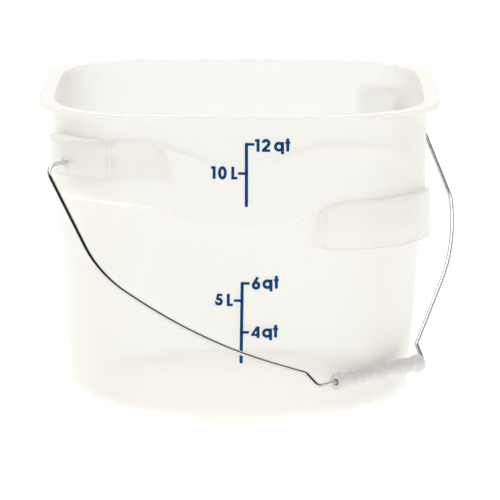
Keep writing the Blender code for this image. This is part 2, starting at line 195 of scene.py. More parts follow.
# How many see-through surfaces a ray may pass
TRANSPARENT_BOUNCES = 32

# Printed marks on the front wall, in millimetres across and up, but for their stand-off in metres
INK_STAND_OFF = 0.00008
MILLIMETRE = 0.001
INK_STEP = 0.8
CAP_STEPS = 12
CLOSED_WITHIN = 0.01
LINE_WIDTH = 2.3
TICK_WIDTH = 1.95
MARK_LINES = (
    (((5.05, 205.3), (5.1, 161.9)), LINE_WIDTH),
    (((5.05, 205.3), (9.8, 205.3)), TICK_WIDTH),
    (((5.05, 184.65), (0.0, 184.65)), TICK_WIDTH),
    (((2.26, 105.7), (1.55, 48.3)), LINE_WIDTH),
    (((2.26, 105.7), (6.7, 105.7)), TICK_WIDTH),
    (((2.1, 93.15), (-2.8, 93.15)), TICK_WIDTH),
    (((1.85, 70.0), (6.3, 70.0)), TICK_WIDTH),
)
MARK_LABELS = (
    ("1", 10.87, 200.1), ("2", 15.74, 200.1), ("q", 24.37, 200.3), ("t", 31.95, 200.3),
    ("1", -19.67, 180.9), ("0", -14.6, 180.6), ("L", -5.34, 180.6),
    ("6", 9.2, 101.3), ("q", 16.66, 101.6), ("t", 24.4, 101.6),
    ("5", -17.15, 89.6), ("L", -8.44, 89.2),
    ("4", 8.44, 65.8), ("q", 16.5, 65.9), ("t", 24.0, 65.9),
)

# Values worked out from these
BAND_HALF_WIDTH = RIM_HALF_WIDTH - FLANGE_OVERHANG
STEP_HEIGHT_AT_FACE = PAIL_HEIGHT - BAND_DEPTH_AT_FACE
STEP_HEIGHT_AT_CORNER = PAIL_HEIGHT - BAND_DEPTH_AT_CORNER
LOWER_TOP_HALF_WIDTH = BAND_HALF_WIDTH - SHOULDER_DEPTH_AT_FACE
LOWER_FOOT_HALF_WIDTH = LOWER_TOP_HALF_WIDTH - LOWER_TAPER
HOLD_FOOT_HEIGHT = STEP_HEIGHT_AT_CORNER - HOLD_DROP
EAR_TOP = PAIL_HEIGHT - EAR_TOP_BELOW_RIM
EAR_FOOT = EAR_TOP - EAR_HEIGHT
PIVOT_HEIGHT = EAR_TOP - PIVOT_BELOW_EAR_TOP
WIRE_RADIUS = WIRE_DIAMETER / 2

HALF_TURN = math.pi
QUARTER_TURN = math.pi / 2
EIGHTH_TURN = math.pi / 4


# The body's walls, shoulder and rim


def folded(angle):
    """A direction folded into the eighth of a turn between a face's middle and a corner."""
    within = angle % QUARTER_TURN
    return min(within, QUARTER_TURN - within)


def square_reach(angle, half_width, corner_radius):
    """How far from the axis a square with rounded corners lies, in one direction."""
    turn = folded(angle)
    centre = half_width - corner_radius
    if half_width * math.tan(turn) <= centre:
        return half_width / math.cos(turn)
    across = centre * (math.cos(turn) + math.sin(turn))
    return across + math.sqrt(corner_radius**2 - centre**2 * (1 - math.sin(2 * turn)))


def band_reach(angle, height, out=0.0):
    """How far from the axis the upper band's outside lies, or a surface some way outside it."""
    below_rim = (PAIL_HEIGHT - height) / (PAIL_HEIGHT - STEP_HEIGHT_AT_FACE)
    half_width = BAND_HALF_WIDTH + out - BAND_DRAFT * below_rim
    bow = 1 - BOW_SHARE * math.sin(2 * folded(angle)) ** 4
    return bow * square_reach(angle, half_width, BAND_CORNER_RADIUS + out)


def lower_reach(angle, height, out=0.0):
    """How far from the axis the lower body's outside lies, or a surface some way outside it."""
    share = height / STEP_HEIGHT_AT_FACE
    half_width = LOWER_FOOT_HALF_WIDTH + (LOWER_TOP_HALF_WIDTH - LOWER_FOOT_HALF_WIDTH) * share + out
    return square_reach(angle, half_width, LOWER_ROUND_SHARE * half_width)


def step_height(angle):
    """The height of the band's lower edge, which is highest at the corners."""
    along = math.tan(folded(angle))
    share = min(along / STEP_RISE_SHARE, 1)
    rise = (1 - math.cos(math.pi * share)) / 2
    return STEP_HEIGHT_AT_FACE + (STEP_HEIGHT_AT_CORNER - STEP_HEIGHT_AT_FACE) * rise


def shoulder(angle):
    """The shoulder's three turning points in one direction: foot, hollow's end and band edge."""
    edge_height = step_height(angle)
    band = band_reach(angle, edge_height)
    depth = band - lower_reach(angle, edge_height)
    hollow_height = edge_height - SHOULDER_EDGE_SHARE * depth
    foot_height = hollow_height - SHOULDER_FALL_SHARE * depth
    foot = lower_reach(angle, foot_height)
    hollow = foot + SHOULDER_HOLLOW_SHARE * (band - foot)
    return (foot, foot_height), (hollow, hollow_height), (band, edge_height)


def shoulder_curve(angle):
    """The shoulder's section in one direction as (reach, height): round the hollow, then the edge."""
    foot, hollow, band = shoulder(angle)
    points = []
    for step in range(SHOULDER_STEPS + 1):
        turn = QUARTER_TURN * step / SHOULDER_STEPS
        reach = foot[0] + (hollow[0] - foot[0]) * (1 - math.cos(turn))
        points.append((reach, foot[1] + (hollow[1] - foot[1]) * math.sin(turn)))
    for step in range(1, SHOULDER_STEPS):
        turn = QUARTER_TURN * step / (SHOULDER_STEPS - 1)
        reach = hollow[0] + (band[0] - hollow[0]) * math.sin(turn)
        points.append((reach, hollow[1] + (band[1] - hollow[1]) * (1 - math.cos(turn))))
    return points


def underside(angle, reach):
    """The height of the shoulder at some reach in one direction."""
    foot, hollow, band = shoulder(angle)
    if reach <= foot[0]:
        return foot[1]
    if reach <= hollow[0]:
        share = (reach - foot[0]) / (hollow[0] - foot[0])
        return foot[1] + (hollow[1] - foot[1]) * math.sqrt(1 - (1 - share) ** 2)
    share = min((reach - hollow[0]) / (band[0] - hollow[0]), 1)
    return hollow[1] + (band[1] - hollow[1]) * (1 - math.sqrt(1 - share**2))


def flange_profile():
    """The rim's section as (out from the band, down from the top), from its fillet to the inside."""
    under = FLANGE_THICKNESS
    lip = under + LIP_DROP
    points = []
    for step in range(FLANGE_STEPS + 1):
        turn = QUARTER_TURN * step / FLANGE_STEPS
        points.append((FLANGE_FILLET * (1 - math.cos(turn)), under + FLANGE_FILLET * (1 - math.sin(turn))))
    points.append((FLANGE_OVERHANG - LIP_WIDTH, under))
    points.append((FLANGE_OVERHANG - LIP_WIDTH, lip))
    points.append((FLANGE_OVERHANG, lip))
    for step in range(FLANGE_STEPS + 1):
        turn = QUARTER_TURN * step / FLANGE_STEPS
        out = FLANGE_OVERHANG - EDGE_RADIUS * (1 - math.cos(turn))
        points.append((out, EDGE_RADIUS * (1 - math.sin(turn))))
    for step in range(FLANGE_STEPS + 1):
        turn = QUARTER_TURN * step / FLANGE_STEPS
        points.append((EDGE_RADIUS * (1 - math.sin(turn)) - WALL, EDGE_RADIUS * (1 - math.cos(turn))))
    return points


def full_turn(count):
    """Angles evenly spaced round a full turn."""
    return [2 * math.pi * index / count for index in range(count)]


def on_ring(reach_and_height):
    """A ring of points, each at the reach and height of its own direction."""
    ring = []
    for angle in full_turn(RING_POINTS):
        reach, height = reach_and_height(angle)
        ring.append(Vector((reach * math.cos(angle), reach * math.sin(angle), height)))
    return ring


def foot_ring(turn, radius, floor, out):
    """A ring of the foot's rounding, some turn up from the floor."""
    height = floor + radius * (1 - math.cos(turn))
    inset = radius * (1 - math.sin(turn))
    return on_ring(lambda angle: (lower_reach(angle, height, out) - inset, height))


def between(low, high, count):
    """Rings evenly spaced between two, without the two themselves."""
    return [[a.lerp(b, step / (count + 1)) for a, b in zip(low, high)] for step in range(1, count + 1)]


def pail_rings():
    """The body's rings: up the outside, over the rim and down the inside."""
    outside = [foot_ring(QUARTER_TURN * i / FILLET_STEPS, FOOT_RADIUS, 0, 0) for i in range(FILLET_STEPS + 1)]
    outer_shoulder = [on_ring(lambda angle, i=i: shoulder_curve(angle)[i]) for i in range(2 * SHOULDER_STEPS)]
    outside += between(outside[-1], outer_shoulder[0], WALL_STEPS) + outer_shoulder
    rim = []
    for out, down in flange_profile():
        height = PAIL_HEIGHT - down
        rim.append(on_ring(lambda angle, o=out, h=height: (band_reach(angle, h, o), h)))
    outside += between(outside[-1], rim[0], WALL_STEPS)
    inside = []
    for index in reversed(range(2 * SHOULDER_STEPS)):
        def inner_point(angle, i=index):
            reach, height = shoulder_curve(angle)[i]
            return reach - WALL, height + WALL
        inside.append(on_ring(inner_point))
    inside = between(rim[-1], inside[0], WALL_STEPS) + inside
    inner_foot = []
    for index in reversed(range(FILLET_STEPS + 1)):
        turn = QUARTER_TURN * index / FILLET_STEPS
        inner_foot.append(foot_ring(turn, FOOT_RADIUS - WALL, FLOOR_THICKNESS, -WALL))
    inside += between(inside[-1], inner_foot[0], WALL_STEPS) + inner_foot
    return outside + rim + inside


def rounded(corners, steps=None):
    """A path through (point, bend radius) corners, each bend an arc between its two straights."""
    points = [corners[0][0]]
    for before, (corner, radius), after in zip(corners, corners[1:], corners[2:]):
        back = (before[0] - corner).normalized()
        ahead = (after[0] - corner).normalized()
        half_angle = back.angle(ahead) / 2
        turn = math.pi - 2 * half_angle
        count = steps or max(2, round(turn / BEND_STEP_ANGLE))
        middle = corner + (back + ahead).normalized() * (radius / math.sin(half_angle))
        start = corner + back * (radius / math.tan(half_angle)) - middle
        side = back * -radius
        for step in range(count + 1):
            along = turn * step / count
            place = middle + start * math.cos(along) + side * math.sin(along)
            if (place - points[-1]).length > SAME_PLACE:
                points.append(place)
    points.append(corners[-1][0])
    return points


# The bail ears


def ear_sizes(inset):
    """The ear's face, end, end radius and corner radius, some inset inside its outside."""
    face = BAND_HALF_WIDTH - EAR_SETBACK - inset
    end = EAR_END + inset
    end_radius = max(EAR_END_RADIUS - inset, EDGE_RADIUS / 2)
    return face, end, end_radius, face - end - end_radius


def wall_angle(side):
    """The direction in which the band's wall lies some way to the side."""
    low, high = 0.0, EIGHTH_TURN
    for _ in range(WALL_SEARCH_ROUNDS):
        middle = (low + high) / 2
        if band_reach(middle, EAR_FOOT, -WALL / 2) * math.sin(middle) < side:
            low = middle
        else:
            high = middle
    return low


def ear_ring(inset, height):
    """One level of the ear's outside, closed by a seat inside the band's wall."""
    face, end, end_radius, corner_radius = ear_sizes(inset)
    first = wall_angle(end + EAR_WALL / 2)
    turns = [first + (QUARTER_TURN - 2 * first) * i / EAR_ARC_STEPS for i in range(EAR_ARC_STEPS + 1)]
    seat = []
    for turn in turns:
        reach = band_reach(turn, height, -WALL / 2)
        seat.append(Vector((reach * math.cos(turn), reach * math.sin(turn), height)))
    corners = [
        (Vector((end, seat[-1].y, height)), 0),
        (Vector((end, face, height)), end_radius),
        (Vector((face, face, height)), corner_radius),
        (Vector((face, end, height)), end_radius),
        (Vector((seat[0].x, end, height)), 0),
    ]
    return rounded(corners, EAR_ARC_STEPS) + seat


def pocket_ring(height, inset):
    """One level of the ear's hollow."""
    face, end, end_radius, corner_radius = ear_sizes(EAR_WALL + inset)
    corners = [
        (Vector((end, end, height)), 0),
        (Vector((end, face, height)), end_radius),
        (Vector((face, face, height)), corner_radius),
        (Vector((face, end, height)), end_radius),
        (Vector((end, end, height)), 0),
    ]
    return rounded(corners, EAR_ARC_STEPS)[:-1]


# The hand holds


def hold_seat(end, height):
    """Where the end wall of a hand hold meets the middle of the lower wall, in plan."""
    angle = math.atan2(LOWER_TOP_HALF_WIDTH, end)
    reach = lower_reach(angle, height, -WALL / 2)
    return Vector((end, math.sqrt(reach**2 - end**2), 0))


def hold_line(inset, share):
    """A line round the curtain wall, some share of the way from its foot to its seat."""
    face = BAND_HALF_WIDTH + HOLD_PROUD
    lean = HOLD_LEAN_SHARE * (1 - math.sqrt(1 - share**2))
    end = HOLD_END + HOLD_END_RUN * lean
    slant = math.atan2(face - math.sqrt(LOWER_TOP_HALF_WIDTH**2 - end**2), HOLD_END_RUN * (1 - lean))
    end += inset / math.sin(slant)
    corner = HOLD_END + HOLD_END_RUN + inset * math.tan(slant / 2)
    face -= inset
    radius = max(HOLD_CORNER_RADIUS - inset, EDGE_RADIUS / 2)
    angle = math.atan2(LOWER_TOP_HALF_WIDTH, end)
    end_top = underside(angle, LOWER_TOP_HALF_WIDTH) + HOLD_LAP
    end_height = HOLD_FOOT_HEIGHT + (end_top - HOLD_FOOT_HEIGHT) * share
    seat = hold_seat(end, end_height)
    corners = [
        (seat, 0),
        (Vector((corner, face, 0)), radius),
        (Vector((face, face, 0)), face - corner - radius),
        (Vector((face, corner, 0)), radius),
        (Vector((seat.y, seat.x, 0)), 0),
    ]
    line = rounded(corners, HOLD_ARC_STEPS)
    for point in line[1:-1]:
        top = underside(math.atan2(point.y, point.x), point.xy.length) + HOLD_LAP
        point.z = HOLD_FOOT_HEIGHT + (top - HOLD_FOOT_HEIGHT) * share
    line[0].z = line[-1].z = end_height
    return line


def hold_sections():
    """The curtain wall's sections from one end round to the other: outer face, top edge, inner face."""
    height = STEP_HEIGHT_AT_CORNER - HOLD_FOOT_HEIGHT
    lines = []
    for share in HOLD_FACE_SHARES:
        lines.append(hold_line(-HOLD_FLARE * (1 - share), share))
    for step in range(FLANGE_STEPS + 1):
        turn = QUARTER_TURN * step / FLANGE_STEPS
        share = 1 - HOLD_TOP_ROUNDING * (1 - math.sin(turn)) / height
        lines.append(hold_line(HOLD_TOP_RADIUS * (1 - math.cos(turn)) - HOLD_FLARE * (1 - share), share))
    lines.append(hold_line(HOLD_WALL + HOLD_SEAT, 1))
    lines.append(hold_line(HOLD_WALL, 1 - HOLD_SEAT / height))
    for share in reversed(HOLD_FACE_SHARES):
        lines.append(hold_line(HOLD_WALL - HOLD_FLARE * (1 - share), share))
    return [list(section) for section in zip(*lines)]


# Meshes and objects


def finished(shape, name):
    """The mesh of a shape, which is then freed."""
    mesh = bpy.data.meshes.new(name)
    shape.to_mesh(mesh)
    shape.free()
    return mesh


def bridged(shape, low, high):
    """Adds the faces between two closed rings of as many points, and returns them."""
    faces = []
    for index, corner in enumerate(low):
        after = (index + 1) % len(low)
        faces.append(shape.faces.new((corner, low[after], high[after], high[index])))
    return faces


def lofted(name, rings):
    """A closed mesh through rings of as many points each, capped at both ends."""
    shape = bmesh.new()
    levels = [[shape.verts.new(point) for point in ring] for ring in rings]
    for low, high in zip(levels, levels[1:]):
        bridged(shape, low, high)
    shape.faces.new(list(reversed(levels[0])))
    shape.faces.new(levels[-1])
    bmesh.ops.recalc_face_normals(shape, faces=shape.faces)
    return finished(shape, name)


def placed(name, data):
    """An object in the scene."""
    thing = bpy.data.objects.new(name, data)
    bpy.context.scene.collection.objects.link(thing)
    return thing


def boolean(target, tool, operation):
    """Gives a target the modifier that joins a tool to it, or cuts the tool out."""
    step = target.modifiers.new(tool.name, "BOOLEAN")
    step.operation = operation
    step.object = tool
    step.solver = "EXACT"


# The whole moulding


def ear_diagonal():
    """How far from the axis the ear's outside lies on the diagonal."""
    face, _, _, corner_radius = ear_sizes(0)
    return square_reach(EIGHTH_TURN, face, corner_radius)


def ear_block(name, turn):
    """A bail ear with its hollow and its hole, as one tool for the pail's union, and the tools it needs."""
    levels = [(0, EAR_FOOT)]
    for step in range(FLANGE_STEPS + 1):
        rise = QUARTER_TURN * step / FLANGE_STEPS
        height = EAR_TOP - EAR_TOP_RADIUS * (1 - math.sin(rise))
        levels.append((EAR_TOP_RADIUS * (1 - math.cos(rise)), height))
    block = placed(name, lofted(name, [ear_ring(inset, height) for inset, height in levels]))
    roof = EAR_TOP - EAR_WALL
    inner_radius = EAR_TOP_RADIUS - EDGE_RADIUS
    hollow_levels = [(EAR_FOOT - CUT_OVERRUN, 0), (roof - inner_radius, 0), (roof, inner_radius)]
    hollow = [pocket_ring(height, inset) for height, inset in hollow_levels]
    pocket = placed(name + "_pocket", lofted(name, hollow))
    face = ear_diagonal()
    rings = [hole_ring(along) for along in (face - EAR_WALL - HOOK_DEPTH / 2, face + CUT_OVERRUN)]
    hole = placed(name + "_hole", lofted(name, rings))
    block.rotation_euler.z = pocket.rotation_euler.z = turn
    hole.rotation_euler.z = turn + EIGHTH_TURN
    boolean(block, pocket, "DIFFERENCE")
    boolean(block, hole, "DIFFERENCE")
    return block, [block, pocket, hole]


def hole_ring(along):
    """A circle of the wire's hole on X; the wire hangs below its middle."""
    middle = PIVOT_HEIGHT + HOLE_LIFT
    radius = WIRE_RADIUS + HOLE_CLEARANCE
    ring = []
    for angle in full_turn(HOLE_SIDES):
        ring.append(Vector((along, radius * math.cos(angle), middle + radius * math.sin(angle))))
    return ring


def pail_shell():
    """The whole moulding as one finely divided mesh, with its ears and hand holds joined on."""
    shell = placed("pail_shell", lofted("pail_shell", pail_rings()))
    tools = []
    for name, turn in (("back_right_ear", 0), ("front_left_ear", HALF_TURN)):
        block, used = ear_block(name, turn)
        tools += used
        boolean(shell, block, "UNION")
    for name, turn in (("back_left_hold", QUARTER_TURN), ("front_right_hold", -QUARTER_TURN)):
        curtain = placed(name, lofted(name, hold_sections()))
        curtain.rotation_euler.z = turn
        tools.append(curtain)
        boolean(shell, curtain, "UNION")
    bpy.context.view_layer.update()
    graph = bpy.context.evaluated_depsgraph_get()
    joined = bpy.data.meshes.new_from_object(shell.evaluated_get(graph))
    shell.modifiers.clear()
    shell.data = joined
    for tool in tools:
        bpy.data.objects.remove(tool)
    joined.shade_smooth()
    joined.set_sharp_from_angle(angle=SMOOTH_BELOW)
    even = shell.modifiers.new("even_normals", "WEIGHTED_NORMAL")
    even.keep_sharp = True
    return shell


# The bail


def bail_sizes():
    """Half the bail's span at its elbows, and its full reach."""
    rim = band_reach(EIGHTH_TURN, PAIL_HEIGHT, FLANGE_OVERHANG)
    return ear_diagonal() + ELBOW_STAND_OFF, rim + GRIP_BEYOND_RIM


def bail_arm(shares, knee_radius, sweep_radius, side):
    """One arm's corners with their bend radii, from the hook's tip to the grip's straight."""
    wall = ear_diagonal()
    half_span, full_reach = bail_sizes()
    tip = wall - EAR_WALL - HOOK_DEPTH
    corners = [
        (Vector((side * tip, 0, -side * HOOK_TIP)), 0),
        (Vector((side * tip, 0, 0)), HOOK_BEND_RADIUS),
    ]
    radii = (ELBOW_BEND_RADIUS, knee_radius, sweep_radius, JOG_BEND_RADIUS)
    for (span, reach), radius in zip(shares, radii):
        corners.append((Vector((side * span * half_span, reach * full_reach, 0)), radius))
    inner = GRIP_LENGTH / 2 + GRIP_SLIDE + JOG_BEND_RADIUS
    corners.append((Vector((side * inner, full_reach, 0)), JOG_BEND_RADIUS))
    return corners


def hang_angle():
    """How far below level the bail hangs, with its grip against the lower wall."""
    _, full_reach = bail_sizes()
    angle = EIGHTH_TURN
    for _ in range(HANG_ROUNDS):
        height = PIVOT_HEIGHT - full_reach * math.sin(angle)
        clear = lower_reach(EIGHTH_TURN, height) + GRIP_RADIUS + REST_GAP
        angle = math.acos(clear / full_reach)
    return angle


def bail_place():
    """Where the bail lies, hanging from its pivot."""
    pivot = Matrix.Translation((0, 0, PIVOT_HEIGHT)) @ Matrix.Rotation(EIGHTH_TURN, 4, "Z")
    return pivot @ Matrix.Rotation(HALF_TURN + hang_angle(), 4, "X")


def along_route(route):
    """Frames along a path that turn as little as they can: (place, side, up, length so far)."""
    frames = []
    length = 0.0
    ahead = (route[1] - route[0]).normalized()
    side = ahead.orthogonal().normalized()
    for index, place in enumerate(route):
        before, after = route[max(index - 1, 0)], route[min(index + 1, len(route) - 1)]
        length += (place - before).length
        heading = (after - before).normalized()
        side = (side - heading * side.dot(heading)).normalized()
        frames.append((place, side, heading.cross(side), length))
    return frames


def bail_wire():
    """The whole bent wire, with the ways round it and along it as UV."""
    near = bail_arm(NEAR_ARM_SHARES, NEAR_KNEE_RADIUS, NEAR_SWEEP_RADIUS, -1)
    far = bail_arm(FAR_ARM_SHARES, FAR_KNEE_RADIUS, FAR_SWEEP_RADIUS, 1)
    frames = along_route(rounded(near + far[::-1]))
    total = frames[-1][3]
    shape = bmesh.new()
    levels = []
    for place, side, up, _ in frames:
        level = []
        for angle in full_turn(WIRE_SIDES):
            outward = side * math.cos(angle) + up * math.sin(angle)
            level.append(shape.verts.new(place + outward * WIRE_RADIUS))
        levels.append(level)
    marks = shape.loops.layers.uv.new("drawn")
    for step, (low, high) in enumerate(zip(levels, levels[1:])):
        for index, face in enumerate(bridged(shape, low, high)):
            spots = ((index, step), (index + 1, step), (index + 1, step + 1), (index, step + 1))
            for loop, (around, along) in zip(face.loops, spots):
                loop[marks].uv = (around / WIRE_SIDES, frames[along][3] / total)
    for end in (levels[0], levels[-1]):
        shape.faces.new(end)
    bmesh.ops.recalc_face_normals(shape, faces=shape.faces)
    mesh = finished(shape, "bail_wire")
    mesh.shade_smooth()
    mesh.set_sharp_from_angle(angle=SMOOTH_BELOW)
    mesh.transform(bail_place())
    return placed("bail_wire", mesh)


# The grip


def smooth_between(before, start, end, after, share):
    """A number some share of the way from start to end, on a smooth curve through all four."""
    slope = (end - before) / 2
    bend = before - 2.5 * start + 2 * end - after / 2
    twist = 1.5 * (start - end) + (after - before) / 2
    return start + share * slope + share**2 * bend + share**3 * twist


def smooth_outline(points):
    """More points on a smooth curve through the given (along, radius) ones."""
    dense = []
    for index in range(len(points) - 1):
        around = (
            points[max(index - 1, 0)],
            points[index],
            points[index + 1],
            points[min(index + 2, len(points) - 1)],
        )
        for step in range(GRIP_SUBSTEPS):
            share = step / GRIP_SUBSTEPS
            dense.append(tuple(smooth_between(*numbers, share) for numbers in zip(*around)))
    return dense + [points[-1]]


def turned_grip():
    """The grip, turned about the straight of the wire: two flanges, two swells and a middle ring."""
    half = [(share * GRIP_LENGTH, radius * GRIP_RADIUS) for share, radius in GRIP_PROFILE_SHARES]
    outline = smooth_outline(half + [(GRIP_LENGTH - along, radius) for along, radius in reversed(half[:-1])])
    bore = WIRE_RADIUS + GRIP_BORE_CLEARANCE
    section = outline + [
        (GRIP_LENGTH, bore + GRIP_BORE_ROUNDING),
        (GRIP_LENGTH - GRIP_BORE_ROUNDING, bore),
        (GRIP_BORE_ROUNDING, bore),
        (0, bore + GRIP_BORE_ROUNDING),
    ]
    shape = bmesh.new()
    levels = []
    for along, radius in section:
        level = []
        for angle in full_turn(GRIP_SIDES):
            spot = (along - GRIP_LENGTH / 2, radius * math.cos(angle), radius * math.sin(angle))
            level.append(shape.verts.new(spot))
        levels.append(level)
    for low, high in zip(levels, levels[1:] + levels[:1]):
        bridged(shape, low, high)
    bmesh.ops.recalc_face_normals(shape, faces=shape.faces)
    mesh = finished(shape, "grip_sleeve")
    mesh.shade_smooth()
    mesh.set_sharp_from_angle(angle=GRIP_SMOOTH_BELOW)
    mesh.transform(bail_place() @ Matrix.Translation((GRIP_SLIDE, bail_sizes()[1], 0)))
    return placed("grip_sleeve", mesh)


# The printed marks


def on_front_wall(across, up):
    """A point just off the outside of the front wall, from millimetres across and up."""
    x, z = across * MILLIMETRE, up * MILLIMETRE
    y = -BAND_HALF_WIDTH
    for _ in range(INK_ROUNDS):
        angle = math.atan2(y, x)
        reach = band_reach(angle, z) if z > step_height(angle) else lower_reach(angle, z)
        y = -math.sqrt(reach**2 - x**2)
    return Vector((x, y - INK_STAND_OFF, z))


def arc(centre, radii, start, end, count=28):
    """Points of an ellipse's arc, its angles in degrees."""
    points = []
    for step in range(count + 1):
        angle = math.radians(start + (end - start) * step / count)
        points.append((centre[0] + radii[0] * math.cos(angle), centre[1] + radii[1] * math.sin(angle)))
    return points


def glyph_strokes(glyph):
    """One character's strokes as (points in millimetres, stroke width)."""
    bold, medium, thin = 2.15, 1.85, 1.75
    if glyph == "1":
        return [([(2.25, 0), (2.25, 8.9)], bold), ([(0.1, 7.5), (1.3, 8.15), (2.6, 8.15)], thin)]
    if glyph == "2":
        top = arc((2.95, 5.95), (2.05, 2.05), 172, -38)
        return [(top + [(0.9, 0.8)], bold), ([(0.05, 0.8), (5.9, 0.8)], medium)]
    if glyph == "0":
        return [(arc((2.95, 4.5), (2.05, 3.65), 0, 360, 48), bold)]
    if glyph == "L":
        return [([(0.93, 0), (0.93, 8.9)], bold), ([(0.1, 0.8), (4.15, 0.8)], medium)]
    if glyph == "q":
        return [(arc((3.25, 3.35), (2.4, 2.45), 0, 360, 40), bold), ([(5.8, 6.7), (5.8, -2.0)], bold)]
    if glyph == "t":
        return [([(1.85, -0.1), (1.85, 9.2)], bold), ([(0.05, 6.15), (3.65, 6.15)], thin)]
    if glyph == "6":
        return [(arc((2.8, 2.85), (1.95, 2.0), 0, 360, 40), bold), ([(1.1, 3.75), (4.0, 8.9)], bold)]
    if glyph == "5":
        bowl = arc((2.85, 2.75), (1.95, 1.9), 128, -160)
        return [
            ([(1.9, 7.6), (5.5, 7.6)], medium),
            ([(2.5, 7.9), (1.75, 4.0)], thin),
            (bowl + [(0.45, 1.75)], bold),
        ]
    return [
        ([(5.0, 0), (5.0, 8.5)], bold),
        ([(4.6, 8.0), (0.9, 2.35)], thin),
        ([(0.15, 2.35), (6.3, 2.35)], thin),
    ]


def dense_path(points):
    """More points along a line of straights, with no step longer than the ink's."""
    path = [points[0]]
    for (x0, z0), (x1, z1) in zip(points, points[1:]):
        count = max(1, math.ceil(math.hypot(x1 - x0, z1 - z0) / INK_STEP))
        for step in range(1, count + 1):
            path.append((x0 + (x1 - x0) * step / count, z0 + (z1 - z0) * step / count))
    return path


def add_ribbon(shape, points, width, round_ends):
    """A flat stroke of ink on the front wall."""
    path = dense_path(points)
    closed = math.dist(path[0], path[-1]) < CLOSED_WITHIN
    left, right = [], []
    last = len(path) - 1
    for index, (x, z) in enumerate(path):
        before = path[index - 1] if index else (path[-2] if closed else path[0])
        after = path[index + 1] if index < last else (path[1] if closed else path[-1])
        dx, dz = after[0] - before[0], after[1] - before[1]
        length = math.hypot(dx, dz)
        nx, nz = -dz / length * width / 2, dx / length * width / 2
        left.append(shape.verts.new(on_front_wall(x + nx, z + nz)))
        right.append(shape.verts.new(on_front_wall(x - nx, z - nz)))
    for index in range(last):
        shape.faces.new((left[index], right[index], right[index + 1], left[index + 1]))
    if round_ends:
        for (x, z), (bx, bz) in ((path[0], path[1]), (path[-1], path[-2])):
            heading = math.degrees(math.atan2(z - bz, x - bx))
            cap = arc((x, z), (width / 2, width / 2), heading - 90, heading + 90, CAP_STEPS)
            shape.faces.new([shape.verts.new(on_front_wall(*point)) for point in cap])


def printed_marks():
    """All the ink on the front wall, as one piece."""
    shape = bmesh.new()
    for points, width in MARK_LINES:
        add_ribbon(shape, points, width, True)
    for glyph, left, base in MARK_LABELS:
        for points, width in glyph_strokes(glyph):
            add_ribbon(shape, [(left + x, base + z) for x, z in points], width, False)
    bmesh.ops.recalc_face_normals(shape, faces=shape.faces)
    return placed("printed_marks", finished(shape, "printed_marks"))


# Materials


def new_material(name):
    """A material with its node tree and its main shader."""
    finish = bpy.data.materials.new(name)
    finish.use_nodes = True
    tree = finish.node_tree
    return finish, tree, tree.nodes["Principled BSDF"]


def noise(tree, scale, detail, coordinates="Object", stretch=(1, 1, 1)):
    """A noise pattern in the object's own space, or in its UV."""
    place = tree.nodes.new("ShaderNodeTexCoord")
    mapping = tree.nodes.new("ShaderNodeMapping")
    mapping.inputs["Scale"].default_value = stretch
    pattern = tree.nodes.new("ShaderNodeTexNoise")
    pattern.inputs["Scale"].default_value = scale
    pattern.inputs["Detail"].default_value = detail
    tree.links.new(place.outputs[coordinates], mapping.inputs["Vector"])
    tree.links.new(mapping.outputs["Vector"], pattern.inputs["Vector"])
    return pattern.outputs["Fac"]


def spread(tree, value, start, end, low, high, kind="LINEAR"):
    """A value mapped from one range onto another and held at its ends."""
    node = tree.nodes.new("ShaderNodeMapRange")
    node.interpolation_type = kind
    for name, number in (("From Min", start), ("From Max", end), ("To Min", low), ("To Max", high)):
        node.inputs[name].default_value = number
    tree.links.new(value, node.inputs["Value"])
    return node.outputs["Result"]


def ranged(tree, pattern, low, high):
    """A pattern's middle values spread between two ends."""
    return spread(tree, pattern, 0.3, 0.7, low, high)


def combined(tree, operation, *terms):
    """The result of one operation on outputs and plain numbers."""
    node = tree.nodes.new("ShaderNodeMath")
    node.operation = operation
    for socket, term in zip(node.inputs, terms):
        if isinstance(term, (int, float)):
            socket.default_value = term
        else:
            tree.links.new(term, socket)
    return node.outputs[0]


def coloured(tree, shader, factor, ends):
    """Gives a shader a colour between two ends."""
    mix = tree.nodes.new("ShaderNodeMix")
    mix.data_type = "RGBA"
    for name, end in zip("AB", ends):
        mix.inputs[name].default_value = (*end, 1)
    tree.links.new(factor, mix.inputs["Factor"])
    tree.links.new(mix.outputs["Result"], shader.inputs["Base Color"])


def bumped(tree, shader, height, strength, distance):
    """Gives a shader a fine relief."""
    bump = tree.nodes.new("ShaderNodeBump")
    bump.inputs["Strength"].default_value = strength
    bump.inputs["Distance"].default_value = distance
    tree.links.new(height, bump.inputs["Height"])
    tree.links.new(bump.outputs["Normal"], shader.inputs["Normal"])


def milky_plastic():
    """Natural polypropylene: clear enough to see through face on, and milky where seen edgeways."""
    finish, tree, shader = new_material("milky_plastic")
    cloud = ranged(tree, noise(tree, 7, 1), 0, 1)
    coloured(tree, shader, cloud, MILKY_COLOURS)
    tree.links.new(ranged(tree, noise(tree, 5, 1), 0.32, 0.38), shader.inputs["Roughness"])
    edgeways = tree.nodes.new("ShaderNodeLayerWeight")
    edgeways.inputs["Blend"].default_value = 0.5
    facing = edgeways.outputs["Facing"]
    opacity = spread(tree, facing, FACE_ON_SHARE, 1, FACE_ON_OPACITY, 1, "SMOOTHSTEP")
    tree.links.new(opacity, shader.inputs["Alpha"])
    shader.inputs["IOR"].default_value = 1.49
    shader.inputs["Specular IOR Level"].default_value = 0.15
    return finish


